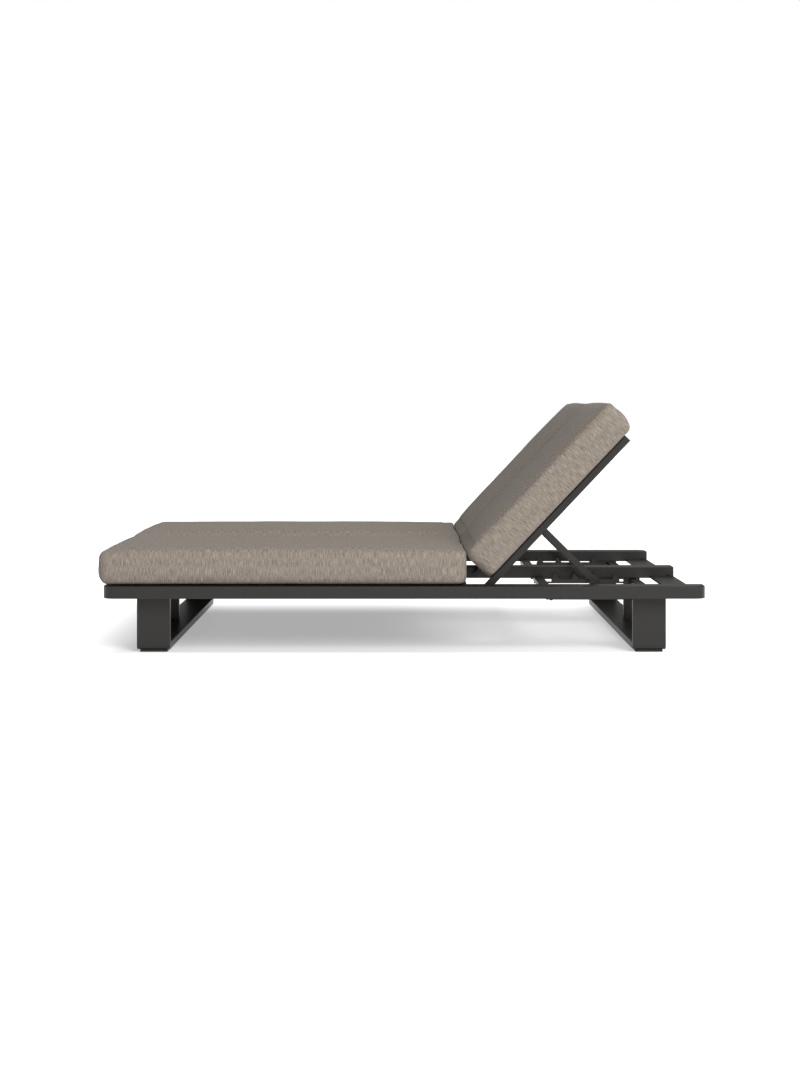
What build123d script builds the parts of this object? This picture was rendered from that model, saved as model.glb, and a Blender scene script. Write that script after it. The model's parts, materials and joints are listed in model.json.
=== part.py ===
"""Double chaise lounger, in millimetres.

Two reclining loungers share one low aluminium frame. Three box rails run the whole length and
stand on two sled legs. In each bay a slatted back turns on two bolts just above the head half of
the frame, and a swinging prop with a cross rod holds it up by standing in one notch of a toothed
rack on each side of the bay. Boxed foam cushions lie on the slats, which run across the seat and up
the back.

The frame: +X runs towards the head end, +Z is up, and the near side faces -Y. The origin is on the
floor, under the middle of the whole object. Lengths along the frame are counted from the middle of
the rails, and depths across a bay are counted from the faces of its two rails.
"""

import math
import os

from build123d import *

# Overall frame
frame_length = 2080.0
frame_width = 1600.0
rail_top = 235.0
rail_width = 92.0
rail_height = 43.0
rail_corner_radius = 40.0
tube_wall = 2.5
edge_radius = 2.5

# Deck level: crossbars and end plates stop this far below the rail tops
deck_drop = 34.0
end_plate_length = 92.0
end_screw_inset = 20.0
end_screw_depth = 10.0
end_screw_radius = 4.5
end_screw_height = 4.5

# Sled legs, one under each end
foot_leg_inset = 110.0
head_leg_inset = 130.0
leg_length = 115.0
leg_thickness = 25.0
leg_corner_radius = 17.0
mid_post_length = 62.0
leg_tube_length = 36.0
leg_tube_height = 25.0
leg_tube_drop = 2.0
leg_tube_inset = 4.0
glide_length = 94.0
glide_depth = 50.0
glide_height = 8.0
glide_front_inset = 8.0
glide_inset = 4.0

# Seat deck
bearer_size = 25.0
seat_deck_inset = 35.0
seat_deck_to_pivot = 64.0
crossbar_length = 36.0
crossbar_height = 18.5
seat_crossbar_shares = (0.45, 0.92)
slat_length = 70.0
slat_thickness = 13.0
slat_wall = 1.5
slat_edge_radius = 2.0
slat_side_inset = 8.0
seat_slat_count = 9

# Reclining back
back_pivot_from_head = 759.0
back_bar_size = 25.0
back_bar_length = 728.0
back_bar_clearance = 3.0
back_rest_clearance = 0.5
back_low_bar_start = 50.0
back_slat_count = 7
back_slat_width = 64.0
back_slat_thickness = 8.7
back_slat_edge_radius = 1.5
pivot_bolt_radius = 5.0
pivot_bolt_head_radius = 9.0
pivot_bolt_head_height = 5.0
pivot_nut_radius = 9.0
pivot_nut_height = 6.0
bush_radius = 7.5
bush_flange_radius = 11.0
bush_flange_height = 2.0
running_clearance = 0.05

# Racks: toothed bars on a foot flange, one beside each rail
rack_depth = 30.0
rack_flange_width = 16.0
rack_flange_height = 6.0
rack_plate_width = 8.0
rack_plate_height = 31.5
rack_base_height = 9.5
rack_first_face_from_pivot = 287.0
rack_pitch = 77.0
rack_tooth_count = 4
rack_rest_tooth = 2
rack_lead = 3.0
tooth_length = 27.0
tooth_peak_share = 0.18
tooth_shoulder_share = 0.52
tooth_shoulder_height_share = 0.74
rack_start_from_pivot = 217.0
rack_screw_radius = 5.0
rack_screw_height = 3.0

# Props
prop_pivot_distance = 294.0
prop_length = 326.0
prop_arm_width = 21.0
prop_arm_thickness = 8.0
prop_side_clearance = 1.0
prop_rod_radius = 6.0
prop_rod_gap = 2.0
prop_flat_angle = 2.2
prop_pin_radius = 4.0
prop_pin_head_radius = 7.0
prop_pin_head_height = 3.0
prop_bar_size = 25.0
prop_bar_gap = 15.0
prop_lug_thickness = 6.0
prop_lug_radius = 10.0

# Cushions
cushion_side_inset = 15.0
cushion_middle_gap = 3.0
cushion_overhang = 23.0
seat_cushion_to_pivot = 64.0
back_cushion_start = 41.5
back_cushion_length = 729.0
seat_cushion_height = 117.0
seat_cushion_crown = 18.0
back_cushion_height = 114.5
back_cushion_crown = 28.0
cushion_side_draw = 4.0
cushion_corner_radius = 38.0
cushion_top_radius = 26.0
cushion_bottom_radius = 14.0
cushion_seat_gap = 0.3

# Places worked out from the sizes above
rail_bottom = rail_top - rail_height
deck_top = rail_top - deck_drop
head_end = frame_length / 2
foot_end = -frame_length / 2
half_width = frame_width / 2
bay_outer = half_width - rail_width
bay_inner = rail_width / 2
bay_width = bay_outer - bay_inner

pivot_x = head_end - back_pivot_from_head
deck_start = foot_end + seat_deck_inset
deck_end = pivot_x - seat_deck_to_pivot
pivot_z = deck_top + back_rest_clearance + back_bar_size / 2
back_slat_top = pivot_z + back_bar_size / 2 + back_slat_thickness
bearer_top = deck_top + bearer_size
seat_slat_top = bearer_top + slat_thickness

rack_bottom = deck_top - crossbar_height - rack_flange_height
rack_plate_bottom = rack_bottom + rack_flange_height
notch_floor = rack_plate_bottom + rack_base_height
rack_near_plate = rack_depth + rack_flange_width
prop_depth = rack_near_plate + prop_side_clearance
rod_z = notch_floor + prop_rod_radius
rod_x = (pivot_x + rack_first_face_from_pivot + rack_rest_tooth * rack_pitch
         - prop_rod_gap - prop_rod_radius)


def back_angle(foot_x):
    """Angle of the back above level when the prop's rod stands in a notch at foot_x."""
    reach = math.hypot(foot_x - pivot_x, rod_z - pivot_z)
    fall = math.degrees(math.atan2(pivot_z - rod_z, foot_x - pivot_x))
    squares = prop_pivot_distance ** 2 + reach ** 2 - prop_length ** 2
    return math.degrees(math.acos(squares / (2 * prop_pivot_distance * reach))) - fall


rest_angle = back_angle(rod_x)
upright_angle = back_angle(rod_x - rack_rest_tooth * rack_pitch)
prop_top_x = pivot_x + prop_pivot_distance * math.cos(math.radians(rest_angle))
prop_top_z = pivot_z + prop_pivot_distance * math.sin(math.radians(rest_angle))
prop_angle = math.degrees(math.atan2(prop_top_z - rod_z, rod_x - prop_top_x))
prop_ratio = (rest_angle + prop_angle - prop_flat_angle) / rest_angle


def block(x, y, z):
    """A plain block between two places on each axis."""
    centre = [(low + high) / 2 for low, high in (x, y, z)]
    size = [high - low for low, high in (x, y, z)]
    return Pos(*centre) * Box(*size)


def shrunk(span, wall):
    """A span with the same wall taken off at both ends."""
    return (span[0] + wall, span[1] - wall)


def tube(x, y, z, along, wall=tube_wall, radius=edge_radius):
    """A closed box tube with rounded edges along one axis."""
    outer = block(x, y, z)
    outer = fillet(outer.edges().filter_by(along), radius)
    return outer - block(shrunk(x, wall), shrunk(y, wall), shrunk(z, wall))


def rod(x, y, z, radius):
    """A round bar along Y, between two places across the frame."""
    return Pos(x, (y[0] + y[1]) / 2, z) * Rot(X=90) * Cylinder(radius, abs(y[1] - y[0]))


def upright_rod(x, y, z, radius):
    """A round bar along Z, between two heights."""
    return Pos(x, y, (z[0] + z[1]) / 2) * Cylinder(radius, z[1] - z[0])


def bay_span(bay, low, high):
    """Places across one bay, near or far, from depths counted from the outer rail's face."""
    if bay == "near":
        return (low - bay_outer, high - bay_outer)
    return (bay_outer - high, bay_outer - low)


def side_span(bay, side, low, high):
    """Places across one bay, from depths counted from its outer or its inner rail's face."""
    if side == "outer":
        return bay_span(bay, low, high)
    return bay_span(bay, bay_width - high, bay_width - low)


def mirrored(shape):
    """The same piece on the far side."""
    return mirror(shape, about=Plane.XZ)


def raised(shape):
    """Turns what is drawn with the back lying flat up to its rest angle."""
    return Pos(pivot_x, 0, pivot_z) * Rot(Y=-rest_angle) * Pos(-pivot_x, 0, -pivot_z) * shape


def side_rail():
    """Near side rail: a closed box rail, rounded in plan at its two outer corners."""
    y = (-half_width, -bay_outer)
    outer = block((foot_end, head_end), y, (rail_bottom, rail_top))
    corners = outer.edges().filter_by(Axis.Z).group_by(Axis.Y)[0]
    outer = fillet(corners, rail_corner_radius)
    level = outer.faces().filter_by(Axis.Z)
    outer = fillet(level.edges(), edge_radius)
    inner = block(shrunk((foot_end, head_end), tube_wall), shrunk(y, tube_wall),
                  shrunk((rail_bottom, rail_top), tube_wall))
    inner_corners = inner.edges().filter_by(Axis.Z).group_by(Axis.Y)[0]
    inner = fillet(inner_corners, rail_corner_radius - tube_wall)
    return outer - inner - pivot_bolt("near", "outer")


def centre_rail():
    """Centre rail between the bays, square at both ends."""
    rail = tube((foot_end, head_end), (-bay_inner, bay_inner), (rail_bottom, rail_top), Axis.X)
    for bay in ("near", "far"):
        rail -= pivot_bolt(bay, "inner")
    return rail


def end_plate(bay, end):
    """Flat bar that closes one bay between the rails, flush with their ends and undersides."""
    x = (head_end - end_plate_length, head_end)
    if end == "foot":
        x = (-x[1], -x[0])
    return tube(x, bay_span(bay, 0, bay_width), (rail_bottom, deck_top), Axis.Y)


def end_screws():
    """Domed screws through the end plates, one beside each rail."""
    pieces = []
    z = (deck_top, deck_top + end_screw_height)
    for x in (head_end - end_screw_inset, foot_end + end_screw_inset):
        for bay in ("near", "far"):
            for side in ("outer", "inner"):
                y = side_span(bay, side, end_screw_depth, end_screw_depth)[0]
                screw = upright_rod(x, y, z, end_screw_radius)
                top = screw.faces().sort_by(Axis.Z)[-1].edges()
                pieces.append(fillet(top, end_screw_height / 2))
    return pieces


def leg_spans(end):
    """Along the frame, one leg's whole length, its mid post and its top tube."""
    if end == "head":
        outer, inward = head_end - head_leg_inset, -1
    else:
        outer, inward = foot_end + foot_leg_inset, 1
    whole = sorted((outer, outer + inward * leg_length))
    post = sorted((outer, outer + inward * mid_post_length))
    tube_outer = outer + inward * leg_tube_inset
    top_tube = sorted((tube_outer, tube_outer + inward * leg_tube_length))
    return tuple(whole), tuple(post), tuple(top_tube)


leg_front = bay_outer + leg_thickness


def leg_post(end):
    """Near post of a sled leg, rounded where it turns into the runner."""
    x = leg_spans(end)[0]
    y = (-leg_front, -bay_outer)
    z = (glide_height, rail_bottom)
    outer = block(x, y, z)
    turn = outer.edges().filter_by(Axis.X).sort_by(Axis.Z)[:2].sort_by(Axis.Y)[0]
    outer = fillet(turn, leg_corner_radius)
    sides = outer.edges().filter_by(Axis.Z)
    outer = fillet(sides, edge_radius)
    inner = block(shrunk(x, tube_wall), shrunk(y, tube_wall), (z[0] + leg_corner_radius, z[1] - tube_wall))
    return outer - inner


def leg_runner(end):
    """Floor bar of a sled leg, between its two posts."""
    x = leg_spans(end)[0]
    return tube(x, (-bay_outer, bay_outer), (glide_height, glide_height + leg_thickness), Axis.Y)


def leg_top_tube(end):
    """Tube that ties a leg's posts together just under the rails."""
    x = leg_spans(end)[2]
    top = rail_bottom - leg_tube_drop
    return tube(x, (-bay_outer, bay_outer), (top - leg_tube_height, top), Axis.Y)


def leg_mid_post(end):
    """Short post under the centre rail, notched round the leg's top tube."""
    _, x, tube_x = leg_spans(end)
    y = (-bay_inner, -bay_inner + leg_thickness)
    post = block(x, y, (glide_height + leg_thickness, rail_bottom))
    post = fillet(post.edges().filter_by(Axis.Z), edge_radius)
    notch_bottom = rail_bottom - leg_tube_drop - leg_tube_height
    return post - block(tube_x, y, (notch_bottom, rail_bottom))


def glides():
    """Pads under the four ends of the runners."""
    pads = []
    for end in ("foot", "head"):
        x = leg_spans(end)[0]
        slack = (leg_length - glide_length) / 2
        near_face = -leg_front + glide_front_inset
        for y in ((near_face, near_face + glide_depth), (-near_face - glide_depth, -near_face)):
            pad = block(shrunk(x, slack), y, (0, glide_height))
            pads.append(fillet(pad.edges().filter_by(Axis.Z), glide_inset))
    return pads


def seat_bearer(bay, side):
    """Square tube along a rail that carries the seat slats."""
    y = side_span(bay, side, 0, bearer_size)
    return tube((deck_start, deck_end), y, (deck_top, bearer_top), Axis.X)


def seat_crossbar(bay, share):
    """Crossbar under the seat bearers, between two rails."""
    middle = deck_start + share * (deck_end - deck_start)
    x = (middle - crossbar_length / 2, middle + crossbar_length / 2)
    return tube(x, bay_span(bay, 0, bay_width), (deck_top - crossbar_height, deck_top), Axis.Y)


def seat_slats(bay):
    """Seat slats of one bay, on the bearers."""
    y = bay_span(bay, slat_side_inset, bay_width - slat_side_inset)
    pitch = (deck_end - deck_start - slat_length) / (seat_slat_count - 1)
    first = tube((deck_start, deck_start + slat_length), y, (bearer_top, seat_slat_top), Axis.Y,
                 slat_wall, slat_edge_radius)
    return [Pos(index * pitch, 0, 0) * first for index in range(seat_slat_count)]


def rack_crossbar(bay):
    """Crossbar that the racks hang from, where the lowered back also rests."""
    start = pivot_x + rack_start_from_pivot
    x = (start, start + crossbar_length)
    return tube(x, bay_span(bay, 0, bay_width), (deck_top - crossbar_height, deck_top), Axis.Y)


def tooth_outline(face_x):
    """One tooth: a steep face towards the foot end, a short top and a long slope behind."""
    top = rack_plate_bottom + rack_plate_height
    shoulder = notch_floor + tooth_shoulder_height_share * (top - notch_floor)
    return [(face_x, notch_floor),
            (face_x + tooth_peak_share * tooth_length, top),
            (face_x + tooth_shoulder_share * tooth_length, shoulder),
            (face_x + tooth_length, notch_floor)]


def rack(bay, side):
    """Ratchet rack: a toothed plate that stands on a flange between crossbar and leg."""
    first_face = pivot_x + rack_first_face_from_pivot
    start = first_face - rack_lead
    outline = [(start, rack_plate_bottom), (start, notch_floor)]
    for index in range(rack_tooth_count):
        outline += tooth_outline(first_face + index * rack_pitch)
    outline.append((outline[-1][0], rack_plate_bottom))
    plate = extrude(Plane.XZ * Polygon(*outline, align=None), rack_plate_width, dir=(0, -1, 0))
    y = side_span(bay, side, rack_near_plate - rack_plate_width, rack_near_plate)
    plate = Pos(0, y[1], 0) * plate
    flange_x = (pivot_x + rack_start_from_pivot, leg_spans("head")[2][0])
    flange = block(flange_x, side_span(bay, side, rack_depth, rack_near_plate),
                   (rack_bottom, rack_plate_bottom))
    return plate + flange


def rack_screws():
    """Screws up through the rack flanges into the crossbars."""
    x = pivot_x + rack_start_from_pivot + crossbar_length / 2
    middle = rack_depth + rack_flange_width / 2
    z = (rack_bottom - rack_screw_height, rack_bottom)
    screws = []
    for bay in ("near", "far"):
        for side in ("outer", "inner"):
            y = side_span(bay, side, middle, middle)[0]
            screws.append(upright_rod(x, y, z, rack_screw_radius))
    return screws


def pivot_bolt(bay, side):
    """Bolt that a back bar turns on, with its head inside the bay and its nut inside the rail."""
    bar_inner = back_bar_clearance + back_bar_size
    head_start = bar_inner + running_clearance * 2
    parts = [
        rod(pivot_x, side_span(bay, side, -tube_wall - pivot_nut_height, head_start), pivot_z,
            pivot_bolt_radius),
        rod(pivot_x, side_span(bay, side, head_start, head_start + pivot_bolt_head_height), pivot_z,
            pivot_bolt_head_radius),
        rod(pivot_x, side_span(bay, side, -tube_wall - pivot_nut_height, -tube_wall), pivot_z,
            pivot_nut_radius),
    ]
    return parts[0] + parts[1] + parts[2]


def pivot_bush(bay, side):
    """Flanged bush in a back bar's lower end, round the pivot bolt."""
    bar = (back_bar_clearance, back_bar_clearance + back_bar_size)
    sleeve = rod(pivot_x, side_span(bay, side, *bar), pivot_z, bush_radius)
    flange_span = (bar[0] - bush_flange_height, bar[0])
    flange = rod(pivot_x, side_span(bay, side, *flange_span), pivot_z, bush_flange_radius)
    bore = rod(pivot_x, side_span(bay, side, flange_span[0], bar[1]), pivot_z,
               pivot_bolt_radius + running_clearance)
    return sleeve + flange - bore


def back_bar(bay, side):
    """Side bar of a back, with a rounded lower end about its pivot."""
    y = side_span(bay, side, back_bar_clearance, back_bar_clearance + back_bar_size)
    half = back_bar_size / 2
    z = (pivot_z - half, pivot_z + half)
    outer = block((pivot_x - half, pivot_x + back_bar_length), y, z)
    outer = fillet(outer.edges().filter_by(Axis.Y).group_by(Axis.X)[0], half - tube_wall)
    outer = fillet(outer.edges().filter_by(Axis.X), edge_radius)
    inner_x = (pivot_x + back_bar_size, pivot_x + back_bar_length - tube_wall)
    inner = block(inner_x, shrunk(y, tube_wall), shrunk(z, tube_wall))
    return outer - inner - rod(pivot_x, y, pivot_z, bush_radius)


def back_bar_inner_span(bay):
    """Across a bay, the clear width between a back's two side bars."""
    depth = back_bar_clearance + back_bar_size
    return bay_span(bay, depth, bay_width - depth)


def back_cross_tube(bay, start, size):
    """Cross tube between a back's side bars, from one place along them."""
    z = (pivot_z - size / 2, pivot_z + size / 2)
    return tube((start, start + size), back_bar_inner_span(bay), z, Axis.Y)


def back_top_bar(bay):
    """Cross tube between the upper ends of a back's side bars."""
    return back_cross_tube(bay, pivot_x + back_bar_length - back_bar_size, back_bar_size)


def prop_bar(bay):
    """Cross tube of a back with two lugs, where the prop hangs."""
    pin_x = pivot_x + prop_pivot_distance
    end = pin_x - prop_arm_width / 2 - prop_bar_gap
    bar = back_cross_tube(bay, end - prop_bar_size, prop_bar_size)
    for side in ("outer", "inner"):
        depth = prop_depth + prop_arm_thickness + prop_side_clearance
        y = side_span(bay, side, depth, depth + prop_lug_thickness)
        web = block((end, pin_x), y, (pivot_z - prop_lug_radius, pivot_z + prop_lug_radius))
        nose = rod(pin_x, y, pivot_z, prop_lug_radius)
        bar += web + nose
        bar -= rod(pin_x, y, pivot_z, prop_pin_radius)
    return bar


def back_slats(bay):
    """Flat slats that run up one back, and the low cross tube that carries their lower ends."""
    start = pivot_x + back_low_bar_start
    z = (pivot_z + back_bar_size / 2, back_slat_top)
    first_depth = back_bar_clearance + slat_side_inset
    pitch = (bay_width - 2 * first_depth - back_slat_width) / (back_slat_count - 1)
    pieces = [back_cross_tube(bay, start, back_bar_size)]
    for index in range(back_slat_count):
        depth = first_depth + index * pitch
        slat = block((start, pivot_x + back_bar_length), bay_span(bay, depth, depth + back_slat_width), z)
        pieces.append(fillet(slat.edges().filter_by(Axis.X), back_slat_edge_radius))
    return pieces


def prop_arms(bay):
    """The two flat arms of a prop, lying flat along the back, with holes for pin and rod."""
    pin_x = pivot_x + prop_pivot_distance
    arms = []
    for side in ("outer", "inner"):
        y = side_span(bay, side, prop_depth, prop_depth + prop_arm_thickness)
        half = prop_arm_width / 2
        arm = block((pin_x, pin_x + prop_length), y, (pivot_z - half, pivot_z + half))
        arm += rod(pin_x, y, pivot_z, half)
        arm += rod(pin_x + prop_length, y, pivot_z, half)
        arm -= rod(pin_x, y, pivot_z, prop_pin_radius + running_clearance)
        arm -= rod(pin_x + prop_length, y, pivot_z, prop_rod_radius)
        arms.append(arm)
    return arms


def prop_rod(bay):
    """Round rod across a prop's foot, which stands in the notches of the racks."""
    x = pivot_x + prop_pivot_distance + prop_length
    return rod(x, bay_span(bay, prop_depth, bay_width - prop_depth), pivot_z, prop_rod_radius)


def prop_pins(bay):
    """Headed pins that the prop's arms turn on, fast in the lugs."""
    x = pivot_x + prop_pivot_distance
    inner_end = prop_depth + prop_arm_thickness + prop_side_clearance + prop_lug_thickness
    head_end_depth = prop_depth - running_clearance
    pins = []
    for side in ("outer", "inner"):
        shank = rod(x, side_span(bay, side, head_end_depth, inner_end), pivot_z, prop_pin_radius)
        head = rod(x, side_span(bay, side, inner_end, inner_end + prop_pin_head_height), pivot_z,
                   prop_pin_head_radius)
        pins.append(shank + head)
    return pins


def swung(shape):
    """Turns a prop piece, drawn flat along the back, to its place at rest."""
    turn = Pos(pivot_x + prop_pivot_distance, 0, pivot_z) * Rot(Y=rest_angle + prop_angle)
    return raised(turn * Pos(-pivot_x - prop_pivot_distance, 0, -pivot_z) * shape)


def cushion(x, y, bottom, height, crown):
    """Boxed foam cushion: drawn-in sides, a crowned top and soft edges all round."""
    half_length = (x[1] - x[0]) / 2
    half_depth = (y[1] - y[0]) / 2
    waist_length = half_length - cushion_side_draw
    waist_depth = half_depth - cushion_side_draw
    corners = [(-half_length, -half_depth), (half_length, -half_depth),
               (half_length, half_depth), (-half_length, half_depth)]
    waists = [(0, -waist_depth), (waist_length, 0), (0, waist_depth), (-waist_length, 0)]
    sides = [ThreePointArc(corners[index], waists[index], corners[(index + 1) % len(corners)])
             for index in range(len(corners))]
    plan = make_face(Wire(sides))
    plan = fillet(plan.vertices(), cushion_corner_radius)
    top = height + crown
    dome_radius = (half_length ** 2 + half_depth ** 2) / (2 * crown)
    body = extrude(plan, top) & (Pos(0, 0, top - dome_radius) * Sphere(dome_radius))
    levels = body.faces().sort_by(Axis.Z)
    body = fillet(levels[-1].edges(), cushion_top_radius)
    levels = body.faces().sort_by(Axis.Z)
    body = fillet(levels[0].edges(), cushion_bottom_radius)
    return Pos((x[0] + x[1]) / 2, (y[0] + y[1]) / 2, bottom) * body


def cushion_span(bay):
    """Across the frame, the width that one lounger's cushions take."""
    near = (cushion_side_inset - half_width, -cushion_middle_gap / 2)
    return near if bay == "near" else (-near[1], -near[0])


def seat_cushion(bay):
    """Seat cushion, lying just clear of the slats and overhanging the foot end."""
    x = (foot_end - cushion_overhang, pivot_x - seat_cushion_to_pivot)
    bottom = seat_slat_top + cushion_seat_gap
    return cushion(x, cushion_span(bay), bottom, seat_cushion_height, seat_cushion_crown)


def back_cushion(bay):
    """Back cushion, drawn with the back lying flat."""
    start = pivot_x + back_cushion_start
    x = (start, start + back_cushion_length)
    bottom = back_slat_top + cushion_seat_gap
    return cushion(x, cushion_span(bay), bottom, back_cushion_height, back_cushion_crown)


def frame_nodes():
    """Every node of the fixed frame."""
    nodes = {"side_rail_near": side_rail(),
             "side_rail_far": mirrored(side_rail()),
             "centre_rail": centre_rail()}
    for end in ("foot", "head"):
        nodes[f"{end}_leg_runner"] = leg_runner(end)
        nodes[f"{end}_leg_post_near"] = leg_post(end)
        nodes[f"{end}_leg_post_far"] = mirrored(leg_post(end))
        nodes[f"{end}_leg_mid_post"] = leg_mid_post(end)
        nodes[f"{end}_leg_top_tube"] = leg_top_tube(end)
        for bay in ("near", "far"):
            nodes[f"{end}_end_plate_{bay}"] = end_plate(bay, end)
    for bay in ("near", "far"):
        for place, share in zip(("foot", "head"), seat_crossbar_shares):
            nodes[f"seat_crossbar_{place}_{bay}"] = seat_crossbar(bay, share)
        nodes[f"rack_crossbar_{bay}"] = rack_crossbar(bay)
        nodes[f"seat_slats_{bay}"] = seat_slats(bay)
        for side in ("outer", "inner"):
            nodes[f"seat_bearer_{bay}_{side}"] = seat_bearer(bay, side)
            nodes[f"rack_{bay}_{side}"] = rack(bay, side)
    nodes["glides"] = glides()
    nodes["end_screws"] = end_screws()
    nodes["rack_screws"] = rack_screws()
    nodes["pivot_bolts"] = [pivot_bolt(bay, side) for bay in ("near", "far") for side in ("outer", "inner")]
    return nodes


def back_nodes(bay):
    """Every node of one reclining back and its prop, at rest."""
    nodes = {f"back_top_bar_{bay}": raised(back_top_bar(bay)),
             f"prop_bar_{bay}": raised(prop_bar(bay)),
             f"back_cushion_{bay}": raised(back_cushion(bay)),
             f"back_slats_{bay}": [raised(slat) for slat in back_slats(bay)],
             f"prop_pins_{bay}": [raised(pin) for pin in prop_pins(bay)],
             f"prop_arms_{bay}": [swung(arm) for arm in prop_arms(bay)],
             f"prop_rod_{bay}": swung(prop_rod(bay))}
    for side in ("outer", "inner"):
        nodes[f"back_bar_{bay}_{side}"] = raised(back_bar(bay, side))
    nodes[f"pivot_bushes_{bay}"] = [raised(pivot_bush(bay, side))
                                    for side in ("outer", "inner")]
    return nodes


def main():
    """Builds every node and writes each to its own file."""
    os.makedirs("parts", exist_ok=True)
    nodes = frame_nodes()
    for bay in ("near", "far"):
        nodes.update(back_nodes(bay))
        nodes[f"seat_cushion_{bay}"] = seat_cushion(bay)
    foot_reach = nodes["seat_cushion_near"].bounding_box().min.X
    shift = -(foot_reach + head_end) / 2
    for name, shape in nodes.items():
        pieces = shape if isinstance(shape, list) else [shape]
        solids = [solid for piece in pieces for solid in (Pos(shift, 0, 0) * piece).solids()]
        export_step(Compound(children=solids) if len(solids) > 1 else solids[0], f"parts/{name}.step")
    print(f"back at rest {rest_angle:.4f} degrees, upright {upright_angle:.4f}")
    print(f"rail middle at x {shift:.4f}")
    print(f"pivot at x {pivot_x + shift:.4f}, z {pivot_z:.4f}")
    print(f"prop pivot at x {prop_top_x + shift:.4f}, z {prop_top_z:.4f}")
    print(f"prop {prop_angle:.4f} degrees below level, ratio {prop_ratio:.5f}")


main()
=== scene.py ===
"""Looks of the double chaise lounger: powder-coated frame, sewn foam cushions and a pale studio.

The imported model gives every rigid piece. This script dresses those pieces and replaces the four
plain cushions with sewn ones. All lengths are in metres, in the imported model's own frame.
"""

from __future__ import annotations

import json
import logging
import math
from dataclasses import dataclass, replace
from enum import Enum
from typing import Callable, Optional, Sequence, Union

import bmesh
import bpy
from mathutils import Matrix, Vector, noise
from mathutils.bvhtree import BVHTree

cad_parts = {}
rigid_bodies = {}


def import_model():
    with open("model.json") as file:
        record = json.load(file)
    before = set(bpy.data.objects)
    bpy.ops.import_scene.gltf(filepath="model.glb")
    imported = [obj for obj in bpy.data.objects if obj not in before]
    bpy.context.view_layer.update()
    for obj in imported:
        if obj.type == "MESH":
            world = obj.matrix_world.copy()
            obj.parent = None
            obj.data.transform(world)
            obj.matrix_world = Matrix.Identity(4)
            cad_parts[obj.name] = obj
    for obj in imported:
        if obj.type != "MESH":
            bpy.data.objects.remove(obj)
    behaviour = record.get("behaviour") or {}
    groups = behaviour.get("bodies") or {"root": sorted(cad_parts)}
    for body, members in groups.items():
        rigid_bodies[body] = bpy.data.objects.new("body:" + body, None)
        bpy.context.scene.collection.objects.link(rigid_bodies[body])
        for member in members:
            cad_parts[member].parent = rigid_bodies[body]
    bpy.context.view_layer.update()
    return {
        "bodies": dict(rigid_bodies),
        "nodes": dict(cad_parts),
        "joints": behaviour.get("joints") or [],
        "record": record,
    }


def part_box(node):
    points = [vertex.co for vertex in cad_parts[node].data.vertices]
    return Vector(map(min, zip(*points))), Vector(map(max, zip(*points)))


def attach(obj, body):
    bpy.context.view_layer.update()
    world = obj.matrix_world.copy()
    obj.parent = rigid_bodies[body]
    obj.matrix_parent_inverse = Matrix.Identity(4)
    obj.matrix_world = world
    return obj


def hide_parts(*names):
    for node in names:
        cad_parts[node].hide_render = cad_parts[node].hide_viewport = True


LOG = logging.getLogger("lounger")
TINY = 1e-6
Colour = tuple[float, float, float, float]
Triple = tuple[float, float, float]
Span = tuple[float, float]
Operand = Union[float, "Value"]
WHITE: Colour = (1.0, 1.0, 1.0, 1.0)
BLACK: Colour = (0.0, 0.0, 0.0, 1.0)


class Bay(Enum):
    """The two loungers that share the frame."""

    NEAR = "near"
    FAR = "far"


class Face(Enum):
    """Where a stretch of a boxed cushion's cloth lies, with the two axes that its yarns follow."""

    PANEL = (0, 1)
    SIDE = (0, 2)
    END = (1, 2)


def colour(red: int, green: int, blue: int) -> Colour:
    """Turns a display colour into the linear one that the shaders take.

    Args:
        red: Red from 0 to 255.
        green: Green from 0 to 255.
        blue: Blue from 0 to 255.

    Returns:
        The linear colour with full alpha.
    """
    linear = []
    for level in (red, green, blue):
        share = level / 255
        linear.append(share / 12.92 if share <= 0.04045 else ((share + 0.055) / 1.055) ** 2.4)
    return (linear[0], linear[1], linear[2], 1.0)


class Value:
    """One output of a shader node, with operators that add the Math nodes of an expression."""

    def __init__(self, graph: "Graph", socket: bpy.types.NodeSocket) -> None:
        """Keeps the graph that the socket belongs to.

        Args:
            graph: The graph that grows.
            socket: The wrapped output socket.
        """
        self.graph = graph
        self.socket = socket

    def maths(self, operation: str, *operands: Operand) -> "Value":
        """Adds one Math node.

        Args:
            operation: The Math node's operation.
            operands: Its inputs, in order.

        Returns:
            The node's result.
        """
        return self.graph.node("ShaderNodeMath", {"operation": operation}, dict(enumerate(operands)))

    def __add__(self, other: Operand) -> "Value":
        """Sum of two values."""
        return self.maths("ADD", self, other)

    def __radd__(self, other: Operand) -> "Value":
        """Sum of a number and a value."""
        return self.maths("ADD", other, self)

    def __sub__(self, other: Operand) -> "Value":
        """Difference of two values."""
        return self.maths("SUBTRACT", self, other)

    def __rsub__(self, other: Operand) -> "Value":
        """Difference of a number and a value."""
        return self.maths("SUBTRACT", other, self)

    def __mul__(self, other: Operand) -> "Value":
        """Product of two values."""
        return self.maths("MULTIPLY", self, other)

    def __rmul__(self, other: Operand) -> "Value":
        """Product of a number and a value."""
        return self.maths("MULTIPLY", other, self)

    def __truediv__(self, other: Operand) -> "Value":
        """Quotient of two values."""
        return self.maths("DIVIDE", self, other)

    def __gt__(self, other: Operand) -> "Value":
        """One where this value is the larger, and zero elsewhere."""
        return self.maths("GREATER_THAN", self, other)

    def at_least(self, other: Operand) -> "Value":
        """The larger of two values."""
        return self.maths("MAXIMUM", self, other)

    def sine(self) -> "Value":
        """Sine of a value in radians."""
        return self.maths("SINE", self)


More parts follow.
